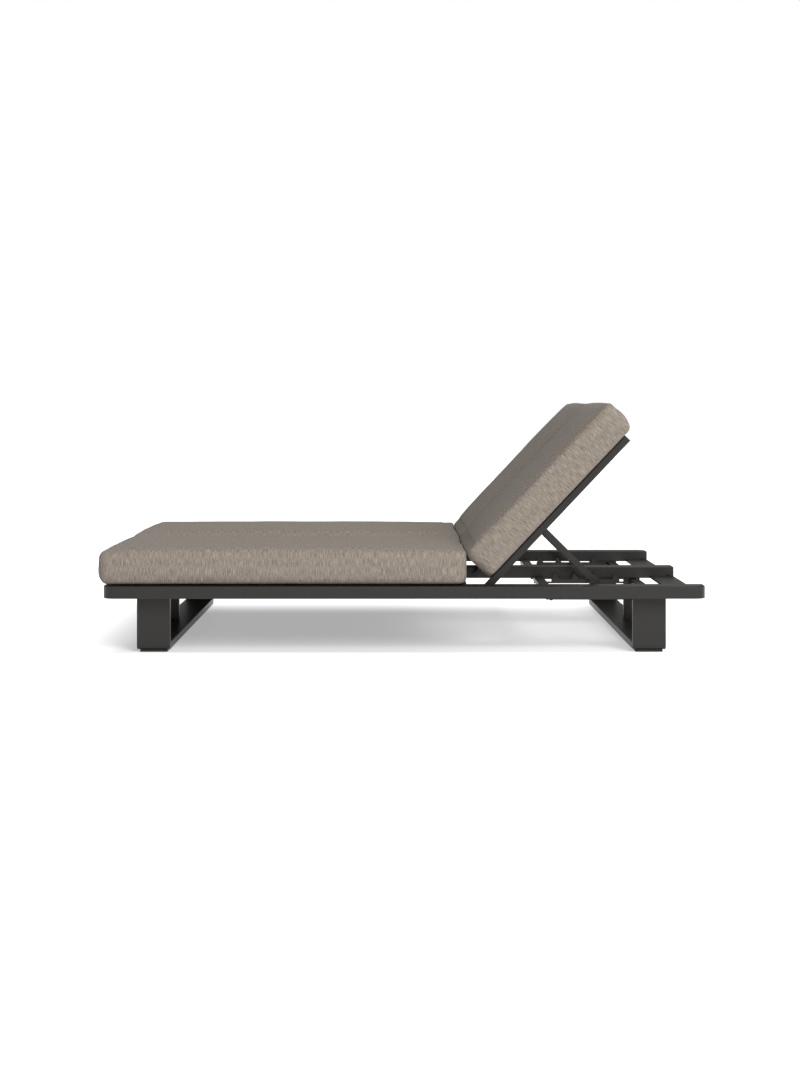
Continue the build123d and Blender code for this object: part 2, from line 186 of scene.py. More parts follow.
class Graph:
    """A shader's node tree, built by node calls and expressions on their results."""

    def __init__(self, owner: Union[bpy.types.Material, bpy.types.World], output: str) -> None:
        """Starts an empty tree with its output node.

        Args:
            owner: The material or world that has the tree.
            output: The output node's type.
        """
        owner.use_nodes = True
        self.tree = owner.node_tree
        self.tree.nodes.clear()
        self.output = self.tree.nodes.new(output)

    def node(self, kind: str, settings: dict, inputs: dict, output: Union[int, str] = 0) -> Value:
        """Adds one node.

        Args:
            kind: The node's type.
            settings: Its properties, set before its inputs. A ramp's stops go under "stops".
            inputs: Its sockets by name or number, each with a number, a tuple or a Value.
            output: The output that is wanted.

        Returns:
            The wanted output.
        """
        made = self.tree.nodes.new(kind)
        for key, setting in settings.items():
            if key == "stops":
                self.set_stops(made.color_ramp, setting)
            else:
                setattr(made, key, setting)
        for key, value in inputs.items():
            if isinstance(value, Value):
                self.tree.links.new(value.socket, made.inputs[key])
            else:
                made.inputs[key].default_value = value
        return Value(self, made.outputs[output])

    @staticmethod
    def set_stops(ramp: bpy.types.ColorRamp, stops: Sequence[tuple[float, Colour]]) -> None:
        """Puts a ramp's stops in place.

        Args:
            ramp: The ramp, which starts with two stops.
            stops: Place and colour of each stop.
        """
        for index, (place, shade) in enumerate(stops):
            stop = ramp.elements[index] if index < 2 else ramp.elements.new(place)
            stop.position = place
            stop.color = shade

    def end(self, shader: Value) -> None:
        """Leads a shader to the output."""
        self.tree.links.new(shader.socket, self.output.inputs["Surface"])

    def mixed(self, share: Operand, first: object, second: object) -> Value:
        """Mixes two colours.

        Args:
            share: How much of the second colour shows.
            first: A colour or a Value.
            second: A colour or a Value.

        Returns:
            The mixed colour.
        """
        settings = {"data_type": "RGBA"}
        # The node's names repeat for each data type. Inputs 6 and 7 and output 2 are the colours.
        return self.node("ShaderNodeMix", settings, {0: share, 6: first, 7: second}, 2)

    def coordinates(self, output: str = "Object") -> Value:
        """Places on the piece, in metres, or along its cloth."""
        return self.node("ShaderNodeTexCoord", {}, {}, output)

    def along(self, places: Value, axis: str) -> Value:
        """One coordinate of some places."""
        return self.node("ShaderNodeSeparateXYZ", {}, {"Vector": places}, axis)

    def ray(self, kind: str) -> Value:
        """One for light paths of one kind, and zero for others."""
        return self.node("ShaderNodeLightPath", {}, {}, kind)

    def stretched(self, places: Value, scale: Triple) -> Value:
        """Places multiplied by a scale on each axis."""
        return self.node("ShaderNodeMapping", {}, {"Vector": places, "Scale": scale})

    def noise(self, places: Value, scale: float, detail: float = 2.0, roughness: float = 0.5) -> Value:
        """Noise between zero and one at some places."""
        inputs = {"Vector": places, "Scale": scale, "Detail": detail, "Roughness": roughness}
        return self.node("ShaderNodeTexNoise", {}, inputs)

    def bump(self, height: Value, depth: float, strength: float = 1.0,
             below: Optional[Value] = None) -> Value:
        """Normals of a surface that rises by depth where the height is one.

        Args:
            height: Height from zero to one.
            depth: The rise.
            strength: How much of the rise shows.
            below: Normals of a relief that this one lies on.

        Returns:
            The normals.
        """
        inputs = {"Height": height, "Distance": depth, "Strength": strength}
        if below is not None:
            inputs["Normal"] = below
        return self.node("ShaderNodeBump", {}, inputs)

    def risen(self, value: Value, span: Span, levels: Span) -> Value:
        """Maps a value softly from one span to another.

        Args:
            value: The value.
            span: Where the rise starts and ends.
            levels: The result before and after the rise.

        Returns:
            The level.
        """
        inputs = {"Value": value, "From Min": span[0], "From Max": span[1], "To Min": levels[0],
                  "To Max": levels[1]}
        return self.node("ShaderNodeMapRange", {"interpolation_type": "SMOOTHSTEP"}, inputs)


class Finish(Graph):
    """A procedural material."""

    def __init__(self, name: str) -> None:
        """Starts an empty material.

        Args:
            name: The material's name.
        """
        self.material = bpy.data.materials.new(name)
        super().__init__(self.material, "ShaderNodeOutputMaterial")

    def surface(self, **sockets: object) -> bpy.types.Material:
        """Ends the material in a Principled shader.

        Args:
            sockets: Its inputs, with underscores for the spaces in their names.

        Returns:
            The finished material.
        """
        named = {key.replace("_", " "): value for key, value in sockets.items()}
        self.end(self.node("ShaderNodeBsdfPrincipled", {}, named))
        return self.material


@dataclass(frozen=True)
class PowderCoat:
    """Charcoal powder coat on aluminium: a fine even grain with a satin gloss."""

    base: Colour = colour(44, 42, 39)
    shade: Colour = colour(38, 36, 33)
    grain_per_metre: float = 1400.0
    grain_detail: float = 3.0
    grain_share: float = 0.4
    grain_depth: float = 0.00005
    cloud_per_metre: float = 9.0
    cloud_detail: float = 4.0
    cloud_share: float = 0.6
    smoothest: float = 0.34
    roughest: float = 0.44
    gloss: float = 0.35

    def make(self) -> bpy.types.Material:
        """Builds the material.

        Returns:
            The material.
        """
        finish = Finish("powder_coat")
        places = finish.coordinates()
        grain = finish.noise(places, self.grain_per_metre, self.grain_detail)
        cloud = finish.noise(places, self.cloud_per_metre, self.cloud_detail)
        share = cloud * self.cloud_share + grain * self.grain_share
        roughness = self.smoothest + (self.roughest - self.smoothest) * grain
        return finish.surface(Base_Color=finish.mixed(share, self.shade, self.base),
                              Roughness=roughness, Specular_IOR_Level=self.gloss,
                              Normal=finish.bump(grain, self.grain_depth))


@dataclass(frozen=True)
class DarkSteel:
    """Blackened steel of bolts, screws and pins, turned on a lathe."""

    base: Colour = colour(52, 51, 50)
    turning_per_metre: float = 900.0
    turning_stretch: Triple = (1.0, 0.15, 1.0)
    smoothest: float = 0.32
    roughest: float = 0.48

    def make(self) -> bpy.types.Material:
        """Builds the material.

        Returns:
            The material.
        """
        finish = Finish("blackened_steel")
        places = finish.stretched(finish.coordinates(), self.turning_stretch)
        lines = finish.noise(places, self.turning_per_metre)
        roughness = self.smoothest + (self.roughest - self.smoothest) * lines
        return finish.surface(Base_Color=self.base, Metallic=1.0, Roughness=roughness)


@dataclass(frozen=True)
class BlackPlastic:
    """Moulded black plastic of glides and bushes, with a fine spark-eroded grain."""

    base: Colour = colour(24, 24, 24)
    worn: Colour = colour(44, 43, 42)
    grain_per_metre: float = 2200.0
    grain_depth: float = 0.00006
    scuff_per_metre: float = 60.0
    scuff_detail: float = 5.0
    scuff_roughness: float = 0.7
    scuff_share: float = 0.5
    smoothest: float = 0.6
    roughest: float = 0.8

    def make(self) -> bpy.types.Material:
        """Builds the material.

        Returns:
            The material.
        """
        finish = Finish("black_plastic")
        places = finish.coordinates()
        grain = finish.noise(places, self.grain_per_metre)
        scuff = finish.noise(places, self.scuff_per_metre, self.scuff_detail, self.scuff_roughness)
        tint = finish.mixed(scuff * self.scuff_share, self.base, self.worn)
        roughness = self.smoothest + (self.roughest - self.smoothest) * grain
        return finish.surface(Base_Color=tint, Roughness=roughness,
                              Normal=finish.bump(grain, self.grain_depth))


@dataclass(frozen=True)
class HeatherCloth:
    """Woven outdoor cloth in mixed taupe yarns, with slubs along the warp."""

    dark: Colour = colour(116, 106, 96)
    middle: Colour = colour(153, 142, 130)
    light: Colour = colour(190, 178, 165)
    tint_stops: Triple = (0.3, 0.5, 0.72)
    yarn: float = 0.0011
    yarn_share: float = 0.45
    yarn_detail: float = 1.0
    yarn_depth: float = 0.00035
    yarn_relief: float = 0.6
    warp_stretch: float = 0.09
    weft_stretch: float = 0.07
    slub_width: float = 0.0030
    slub_length: float = 0.030
    slub_share: float = 0.75
    slub_detail: float = 2.0
    slub_roughness: float = 0.6
    slub_depth: float = 0.0005
    slub_relief: float = 0.5
    darkening: float = 0.1
    roughness: float = 0.9
    sheen: float = 0.12
    sheen_roughness: float = 0.5
    gloss: float = 0.3

    def make(self) -> bpy.types.Material:
        """Builds the material.

        Returns:
            The material.
        """
        finish = Finish("heather_cloth")
        cloth = finish.coordinates("UV")
        warp = finish.stretched(cloth, (1 / self.yarn, self.warp_stretch / self.yarn, 1.0))
        weft = finish.stretched(cloth, (self.weft_stretch / self.yarn, 1 / self.yarn, 1.0))
        slubs = finish.stretched(cloth, (1 / self.slub_width, 1 / self.slub_length, 1.0))
        slub = finish.noise(slubs, 1.0, self.slub_detail, self.slub_roughness)
        weave = self.yarn_wave(finish, cloth, "X") * self.yarn_wave(finish, cloth, "Y")
        on_top = weave > 0.0
        yarns = (finish.noise(warp, 1.0, self.yarn_detail) * on_top
                 + finish.noise(weft, 1.0, self.yarn_detail) * (1.0 - on_top))
        mix = yarns * self.yarn_share + slub * self.slub_share - self.darkening
        stops = list(zip(self.tint_stops, (self.dark, self.middle, self.light)))
        tint = finish.node("ShaderNodeValToRGB", {"stops": stops}, {"Fac": mix})
        # The weave runs from minus one to one, and its height from zero to one.
        relief = finish.bump(weave * 0.5 + 0.5, self.yarn_depth, self.yarn_relief)
        normal = finish.bump(slub, self.slub_depth, self.slub_relief, relief)
        return finish.surface(Base_Color=tint, Roughness=self.roughness, Normal=normal,
                              Sheen_Weight=self.sheen, Sheen_Roughness=self.sheen_roughness,
                              Specular_IOR_Level=self.gloss)

    def yarn_wave(self, finish: Finish, cloth: Value, axis: str) -> Value:
        """Wave of the yarns along X or Y of the cloth, with one swing per two yarns."""
        return (finish.along(cloth, axis) * (math.pi / self.yarn)).sine()


@dataclass(frozen=True)
class SeamThread:
    """Twisted polyester thread that closes the cushion covers."""

    dark: Colour = colour(140, 131, 120)
    light: Colour = colour(172, 162, 150)
    twist_per_metre: float = 800.0
    roughness: float = 0.85

    def make(self) -> bpy.types.Material:
        """Builds the material.

        Returns:
            The material.
        """
        finish = Finish("seam_thread")
        grain = finish.noise(finish.coordinates(), self.twist_per_metre)
        return finish.surface(Base_Color=finish.mixed(grain, self.dark, self.light),
                              Roughness=self.roughness)


def deselect() -> None:
    """Leaves nothing selected, because a loaded frame and a new primitive come selected."""
    bpy.ops.object.select_all(action="DESELECT")


def make_active(piece: bpy.types.Object) -> None:
    """Makes one piece the only selected and the active one.

    Args:
        piece: The piece.
    """
    deselect()
    piece.select_set(True)
    bpy.context.view_layer.objects.active = piece


def apply_all(piece: bpy.types.Object) -> None:
    """Applies every modifier of a piece.

    Args:
        piece: The piece.
    """
    make_active(piece)
    for modifier in list(piece.modifiers):
        bpy.ops.object.modifier_apply(modifier=modifier.name)


def bevel_where(piece: bpy.types.Object, wanted: Callable[[Vector, Vector], bool], width: float,
                segments: int) -> None:
    """Rounds some edges of a piece in edit mode.

    Args:
        piece: The piece.
        wanted: Tells from an edge's two ends whether it is rounded.
        width: The bevel's width.
        segments: The number of steps round the bevel.
    """
    make_active(piece)
    bpy.ops.object.mode_set(mode="EDIT")
    bpy.ops.mesh.select_all(action="DESELECT")
    bpy.ops.mesh.select_mode(type="EDGE")
    mesh = bmesh.from_edit_mesh(piece.data)
    for edge in mesh.edges:
        edge.select_set(wanted(edge.verts[0].co, edge.verts[1].co))
    bmesh.update_edit_mesh(piece.data)
    bpy.ops.mesh.bevel(offset=width, offset_type="OFFSET", segments=segments, profile=0.5)
    bpy.ops.object.mode_set(mode="OBJECT")


class Hinge:
    """Turn between a back lying flat and the same back at rest."""

    def __init__(self, frame: dict, bay: Bay) -> None:
        """Reads a recline joint.

        Args:
            bay: The lounger.
        """
        joint = next(j for j in frame["joints"] if j["name"] == f"recline_{bay.value}")
        self.pivot = Vector(joint["pos_m"])
        self.angle = math.radians(-joint["range_deg"][0])

    def raised(self) -> Matrix:
        """Turns flat places up to rest."""
        turn = Matrix.Rotation(-self.angle, 4, "Y")
        return Matrix.Translation(self.pivot) @ turn @ Matrix.Translation(-self.pivot)


@dataclass(frozen=True)
class Contact:
    """Sloping face on which a seat cushion's end and a back cushion's foot press each other.

    The back cushion bows into the seat cushion in the middle of the bay.

    Attributes:
        point: A place on the face, with the back at rest.
        lean: How far the face's normal leans up from level, in radians.
        middle_y: Middle of the bay.
        half_width: Half the cushions' width.
        bow: How far the back cushion bows into the seat cushion.
        give: Depth over which a cover softens towards the face.
        clearance: How far each cover stays off the face.
    """

    point: Vector
    lean: float
    middle_y: float
    half_width: float
    bow: float = 0.007
    give: float = 0.0015
    clearance: float = 0.0003

    def normal(self) -> Vector:
        """Direction square to the plane, from the seat cushion to the back cushion."""
        return Vector((math.cos(self.lean), 0.0, math.sin(self.lean)))

    def pressed(self, place: Vector, side: int) -> Vector:
        """Moves a place of one cushion back to its own side of the face, softly near it.

        Args:
            place: A place on the cushion, with the back at rest.
            side: Minus one for the seat cushion and one for the back cushion.

        Returns:
            The place after the press.
        """
        share = (place.y - self.middle_y) / self.half_width
        bowed = self.bow * max(0.0, 1 - share * share)
        depth = ((place - self.point).dot(self.normal()) + bowed) * side - self.clearance
        if depth >= self.give:
            return place
        kept = self.give * math.exp(depth / self.give - 1.0)
        return place + self.normal() * (side * (kept - depth))


@dataclass(frozen=True)
class Turn:
    """Radii at which the cover turns over one side of a cushion."""

    top: float
    bottom: float


@dataclass(frozen=True)
class Form:
    """How full a cushion is and how its cover turns over its edges.

    Attributes:
        edge_drop: How far the edge of the top lies below the solid's top.
        crown: How far the middle of the top rises over its edge.
        side_tilt: How far the side towards minus Y is raised and the other one lowered.
        side_fullness: Power of the crown's fall towards the sides. A higher one falls later.
        end_shares: Shares of the crown that are left at the foot end and at the head end.
        end_fullness: Power of the crown's fall towards the ends.
        end_proud: How far the end away from the fold stands past the solid.
        sides: Radii along the two sides.
        foot: Radii at the foot end.
        head: Radii at the head end.
        corner_radius: Radius of the four upright corners.
    """

    edge_drop: float
    crown: float
    side_tilt: float
    side_fullness: float
    end_shares: Span
    end_fullness: float
    end_proud: float
    sides: Turn
    foot: Turn
    head: Turn
    corner_radius: float = 0.038

    def radii(self, outward: Vector) -> Turn:
        """Radii of the edge that faces one way.

        Args:
            outward: The way out of the cushion, level.

        Returns:
            The radii, blended between a side and an end round the corners.
        """
        end = self.head if outward.x > 0 else self.foot
        share = outward.x * outward.x
        top = self.sides.top + (end.top - self.sides.top) * share
        bottom = self.sides.bottom + (end.bottom - self.sides.bottom) * share
        return Turn(top, bottom)

    def outline(self, place: Vector, middle: Vector, half: Vector) -> tuple[float, Vector]:
        """How far a place is outside the rounded outline, and the way out.

        Args:
            place: A place on the cushion.
            middle: Middle of the cushion.
            half: Half its length, width and height.

        Returns:
            The distance, less than zero inside, and the level way out.
        """
        right = math.copysign(1.0, place.x - middle.x)
        up = math.copysign(1.0, place.y - middle.y)
        beyond_x = abs(place.x - middle.x) - (half.x - self.corner_radius)
        beyond_y = abs(place.y - middle.y) - (half.y - self.corner_radius)
        if beyond_x > 0 and beyond_y > 0:
            beyond = Vector((beyond_x, beyond_y, 0.0))
            way = beyond.normalized()
            return beyond.length - self.corner_radius, Vector((way.x * right, way.y * up, 0.0))
        if beyond_x > beyond_y:
            return beyond_x - self.corner_radius, Vector((right, 0.0, 0.0))
        return beyond_y - self.corner_radius, Vector((0.0, up, 0.0))

    def shaped(self, place: Vector, low: Vector, high: Vector) -> Vector:
        """Puts a place near the foam box onto the box with its own radii.

        Args:
            place: A place on the remeshed box.
            low: Lowest corner of the box.
            high: Highest corner of the box, without its crown.

        Returns:
            The place on the rounded box.
        """
        outside, outward = self.outline(place, (low + high) / 2, (high - low) / 2)
        radii = self.radii(outward)
        for radius, level, up in ((radii.top, high.z, 1.0), (radii.bottom, low.z, -1.0)):
            over = (place.z - level) * up + radius
            if over <= 0:
                continue
            out = outside + radius
            if out <= 0:
                return Vector((place.x, place.y, level))
            share = radius / max(math.hypot(out, over), TINY)
            height = level + up * (over * share - radius)
            move = out * share - radius - outside
            return Vector((place.x + outward.x * move, place.y + outward.y * move, height))
        return place - outward * outside

    def lift(self, across: float, along: float) -> float:
        """Rise of the top over its edge.

        Args:
            across: Place from foot to head, from minus one to one.
            along: Place from side to side, from minus one to one.

        Returns:
            The rise of the crown and of the tilt.
        """
        end_share = self.end_shares[1 if across > 0 else 0]
        kept = 1 - (1 - end_share) * min(1.0, abs(across)) ** self.end_fullness
        crown = self.crown * kept * max(0.0, 1 - abs(along) ** self.side_fullness)
        return crown - self.side_tilt * along * (1 - abs(across) ** self.end_fullness)


SEAT_FORM = Form(edge_drop=0.0210, crown=0.0135, side_tilt=0.005, side_fullness=3.0,
                 end_shares=(0.38, 0.15), end_fullness=4.0, end_proud=0.0,
                 sides=Turn(top=0.038, bottom=0.017), foot=Turn(top=0.027, bottom=0.036),
                 head=Turn(top=0.011, bottom=0.022))
BACK_FORM = Form(edge_drop=0.0265, crown=0.023, side_tilt=0.0, side_fullness=2.0,
                 end_shares=(0.3, 0.3), end_fullness=6.0, end_proud=0.005,
                 sides=Turn(top=0.014, bottom=0.006), foot=Turn(top=0.012, bottom=0.018),
                 head=Turn(top=0.009, bottom=0.044))


@dataclass(frozen=True)
class Filling:
    """How foam and wadding blow up a cover in the cloth simulation."""

    pressure: float = 3.0
    steps: int = 12
    swell: float = 0.0025
    held_length: float = 0.05
    quality: int = 4
    stiffness: float = 12.0
    bending: float = 0.6

    def simulate(self, piece: bpy.types.Object, group: str) -> None:
        """Runs the simulation and applies its last step.

        Args:
            piece: The cover.
            group: Vertex group that stays in place.
        """
        modifier = piece.modifiers.new("cover", "CLOTH")
        settings = modifier.settings
        settings.quality = self.quality
        settings.tension_stiffness = self.stiffness
        settings.compression_stiffness = self.stiffness
        settings.bending_stiffness = self.bending
        settings.use_pressure = True
        settings.uniform_pressure_force = self.pressure
        settings.vertex_group_mass = group
        settings.effector_weights.gravity = 0.0
        modifier.point_cache.frame_start = 1
        modifier.point_cache.frame_end = self.steps
        scene = bpy.context.scene
        for step in range(1, self.steps + 1):
            scene.frame_set(step)
        apply_all(piece)
        scene.frame_set(1)


@dataclass(frozen=True)
class Ripple:
    """Soft ripples that the wadding leaves in a cover."""

    depth: float = 0.0012
    long_per_metre: float = 5.0
    short_per_metre: float = 13.0
    short_share: float = 0.5
    seed_step: Triple = (3.1, 1.7, 2.3)

    def height(self, place: Vector, seed: int) -> float:
        """Height of the ripples at a place.

        Args:
            place: A place on the cushion.
            seed: The cushion's own number.

        Returns:
            The height, up or down.
        """
        shift = Vector([seed * step for step in self.seed_step])
        long = noise.noise(place * self.long_per_metre + shift)
        short = noise.noise(place * self.short_per_metre + shift)
        return self.depth * (long + self.short_share * short)


@dataclass(frozen=True)
class Seam:
    """The two rows of thread that join the boxing to the top and bottom panels."""

    radius: float = 0.0008
    inset: float = 0.0004
    step: float = 0.006
    round_steps: int = 1
    corner_steps: int = 8
    top_drop: float = 0.004
    bottom_rise: float = 0.009

    def heights(self, low: Vector, high: Vector) -> Span:
        """Heights of the bottom and the top seam."""
        return low.z + self.bottom_rise, high.z - self.top_drop


@dataclass
class Cushion:
    """A boxed foam cushion in a sewn cover, made lying flat and then turned to its place.

    Attributes:
        name: Name of the finished piece.
        node: The solid that it stands for.
        body: The body that it moves with.
        to_place: The way from lying flat to its place.
        seed: Its own number, which shifts the ripples.
        form: How full it is.
        contact: The face on which it meets the other cushion.
        contact_side: Minus one for the seat cushion and one for the back cushion.
        filling: How the simulation blows up its cover.
        ripple: The ripples in its cover.
        seam: Its seams.
        draw: How far the sides pull in between the corners.
        draw_at_top: Share of the draw that is lost at the top.
        draw_sharpness: Power that keeps the draw to the outside.
        base_radius: Radius of the box's level edges before they get the form's radii.
        corner_segments: Steps round an upright corner.
        edge_segments: Steps round a level edge.
        edge_reach: How near to the top or bottom both ends of a level edge lie.
        voxel: Grid size of the remesh.
        panel_slope: Upright share of a normal from which a face counts as top or bottom.
    """

    name: str
    node: str
    body: str
    to_place: Matrix
    seed: int
    form: Form
    contact: Contact
    contact_side: int
    filling: Filling = Filling()
    ripple: Ripple = Ripple()
    seam: Seam = Seam()
    draw: float = 0.004
    draw_at_top: float = 0.5
    draw_sharpness: int = 6
    base_radius: float = 0.016
    corner_segments: int = 8
    edge_segments: int = 6
    edge_reach: float = 0.00475
    voxel: float = 0.009
    panel_slope: float = 0.9

    def flat_box(self) -> tuple[Vector, Vector]:
        """Measures the foam, lying flat and without its crown.

        Returns:
            Its lowest and highest corners.
        """
        back = self.to_place.inverted()
        places = [back @ vertex.co for vertex in bpy.data.objects[self.node].data.vertices]
        low = Vector([min(place[axis] for place in places) for axis in range(3)])
        high = Vector([max(place[axis] for place in places) for axis in range(3)])
        high.z -= self.form.edge_drop
        if self.contact_side > 0:
            high.x += self.form.end_proud
        else:
            low.x -= self.form.end_proud
        return low, high

    def build(self, cloth: bpy.types.Material, thread: bpy.types.Material) -> bpy.types.Object:
        """Builds the cushion.

        Args:
            cloth: Finish of the cover.
            thread: Finish of the seams.

        Returns:
            The finished piece at its place.
        """
        low, high = self.flat_box()
        piece = self.foam_box(low, high)
        self.fill(piece, low, high)
        self.crowned(piece, low, high)
        seams = self.seams(piece, low, high)
        self.lay_cloth(piece, low, high)
        piece.data.materials.append(cloth)
        seams.data.materials.append(thread)
        make_active(piece)
        seams.select_set(True)
        bpy.ops.object.join()
        piece.data.transform(self.to_place)
        for vertex in piece.data.vertices:
            vertex.co = self.contact.pressed(vertex.co, self.contact_side)
        piece.data.update()
        make_active(piece)
        bpy.ops.object.shade_smooth()
        return piece

    def foam_box(self, low: Vector, high: Vector) -> bpy.types.Object:
        """The rounded box of foam, evenly remeshed.

        Args:
            low: Lowest corner, lying flat.
            high: Highest corner, lying flat.

        Returns:
            The box.
        """
        deselect()
        bpy.ops.mesh.primitive_cube_add(size=1.0, location=(low + high) / 2, scale=high - low)
        piece = bpy.context.object
        piece.name = self.name
        bpy.ops.object.transform_apply(location=True, rotation=True, scale=True)
        near = self.edge_reach
        corner = self.form.corner_radius
        edge = self.base_radius
        bevel_where(piece, lambda a, b: abs(a.z - b.z) > near, corner, self.corner_segments)
        bevel_where(piece, lambda a, b: min(a.z, b.z) > high.z - near, edge, self.edge_segments)
        bevel_where(piece, lambda a, b: max(a.z, b.z) < low.z + near, edge, self.edge_segments)
        remesh = piece.modifiers.new("even", "REMESH")
        remesh.mode = "VOXEL"
        remesh.voxel_size = self.voxel
        apply_all(piece)
        for vertex in piece.data.vertices:
            vertex.co = self.form.shaped(vertex.co, low, high)
        return piece

    def fill(self, piece: bpy.types.Object, low: Vector, high: Vector) -> None:
        """Blows the cover up a little, as foam and wadding fill it.

        Its underside is held flat, and so is the end that presses on the other cushion.

        Args:
            piece: The cover.
            low: Lowest corner, lying flat.
            high: Highest corner, lying flat.
        """
        before = [vertex.co.copy() for vertex in piece.data.vertices]
        held = piece.vertex_groups.new(name="held")
        end = high.x if self.contact_side < 0 else low.x
        resting = [vertex.index for vertex in piece.data.vertices
                   if vertex.co.z < low.z + self.voxel / 2
                   or abs(vertex.co.x - end) < self.filling.held_length]
        held.add(resting, 1.0, "REPLACE")
        self.filling.simulate(piece, held.name)
        for vertex, start in zip(piece.data.vertices, before):
            moved = vertex.co - start
            if moved.length > self.filling.swell:
                vertex.co = start + moved.normalized() * self.filling.swell
        piece.vertex_groups.clear()

    def crowned(self, piece: bpy.types.Object, low: Vector, high: Vector) -> None:
        """Crowns the top, draws the sides in between the corners and lays soft ripples.

        Args:
            piece: The cover.
            low: Lowest corner, lying flat.
            high: Highest corner, lying flat.
        """
        smooth = piece.modifiers.new("finer", "SUBSURF")
        smooth.levels = 1
        smooth.render_levels = 1
        apply_all(piece)
        middle = (low + high) / 2
        half = (high - low) / 2
        for vertex in piece.data.vertices:
            place = vertex.co
            across = (place.x - middle.x) / half.x
            along = (place.y - middle.y) / half.y
            rise = max(0.0, min(1.0, (place.z - low.z) / (high.z - low.z)))
            place.z += rise * (self.form.lift(across, along) + self.ripple.height(place, self.seed))
            pull = self.draw * (1 - self.draw_at_top * rise)
            if across * self.contact_side > 0:
                place.x -= math.copysign(pull * self.drawn(along, across), across)
            place.y -= math.copysign(pull * self.drawn(across, along), along)
        piece.data.update()

    def drawn(self, between: float, outward: float) -> float:
        """Share of the draw, most between two corners and on the outside."""
        return max(0.0, 1 - between * between) * abs(outward) ** self.draw_sharpness

    def seam_path(self, piece: bpy.types.Object, height: float, low: Vector,
                  high: Vector) -> list[Vector]:
        """Points round the cushion where a seam lies on the cloth.

        Args:
            piece: The cover.
            height: Height of the seam at the corners.
            low: Lowest corner, lying flat.
            high: Highest corner, lying flat.

        Returns:
            Points on the cloth, in order round the cushion.
        """
        tree = BVHTree.FromObject(piece, bpy.context.evaluated_depsgraph_get())
        middle = (low + high) / 2
        reach = (high - low) / 2 - Vector((1.0, 1.0, 0.0)) * self.form.corner_radius
        corners = [Vector((middle.x + right * reach.x, middle.y + up * reach.y, height))
                   for right, up in ((1, 1), (-1, 1), (-1, -1), (1, -1))]
        quarter = math.pi / 2
        path: list[Vector] = []
        for index, centre in enumerate(corners):
            for step in range(self.seam.corner_steps + 1):
                angle = quarter * (index + step / self.seam.corner_steps)
                path.append(self.on_cloth(tree, centre, angle))
            following = corners[(index + 1) % len(corners)]
            angle = quarter * (index + 1)
            count = int((following - centre).length / self.seam.step)
            for step in range(1, count):
                path.append(self.on_cloth(tree, centre.lerp(following, step / count), angle))
        return path

    def on_cloth(self, tree: BVHTree, start: Vector, angle: float) -> Vector:
        """The place where a level line from inside the cushion leaves its cloth.

        Args:
            tree: The cover's faces.
            start: A place inside the cushion.
            angle: The way out, in radians from the head end.

        Returns:
            The place, a little inside the cloth.
        """
        outward = Vector((math.cos(angle), math.sin(angle), 0.0))
        far = start + outward * (self.form.corner_radius * 2)
        hit = tree.ray_cast(far, -outward)[0]
        return (hit if hit is not None else start) - outward * self.seam.inset

    def seams(self, piece: bpy.types.Object, low: Vector, high: Vector) -> bpy.types.Object:
        """The two sewn seams that join the boxing to the top and bottom panels.

        Args:
            piece: The cover.
            low: Lowest corner, lying flat.
            high: Highest corner, lying flat.

        Returns:
            Both seams as one mesh.
        """
        curve = bpy.data.curves.new(f"{self.name}_seams", "CURVE")
        curve.dimensions = "3D"
        curve.bevel_depth = self.seam.radius
        curve.bevel_resolution = self.seam.round_steps
        for height in reversed(self.seam.heights(low, high)):
            path = self.seam_path(piece, height, low, high)
            spline = curve.splines.new("POLY")
            spline.points.add(len(path) - 1)
            for point, place in zip(spline.points, path):
                point.co = (place.x, place.y, place.z, 1.0)
            spline.use_cyclic_u = True
        carrier = bpy.data.objects.new(f"{self.name}_seams", curve)
        bpy.context.collection.objects.link(carrier)
        make_active(carrier)
        bpy.ops.object.convert(target="MESH")
        return bpy.context.object

    def facing(self, normal: Vector, height: float, seams: Span) -> Face:
        """Tells which stretch of cloth a face of the cover belongs to.

        Args:
            normal: The face's normal.
            height: Height of its middle.
            seams: Heights of the bottom and the top seam.

        Returns:
            The stretch.
        """
        if not seams[0] < height < seams[1] or abs(normal.z) >= self.panel_slope:
            return Face.PANEL
        return Face.SIDE if abs(normal.y) > abs(normal.x) else Face.END

    def lay_cloth(self, piece: bpy.types.Object, low: Vector, high: Vector) -> None:
        """Gives the cover its cloth coordinates, stretch by stretch, in metres.

        Args:
            piece: The cover.
            low: Lowest corner, lying flat.
            high: Highest corner, lying flat.
        """
        layer = piece.data.uv_layers.new(name="cloth")
        seams = self.seam.heights(low, high)
        for face in piece.data.polygons:
            first, second = self.facing(face.normal, face.center.z, seams).value
            for corner in face.loop_indices:
                place = piece.data.vertices[piece.data.loops[corner].vertex_index].co
                layer.data[corner].uv = (place[first], place[second])


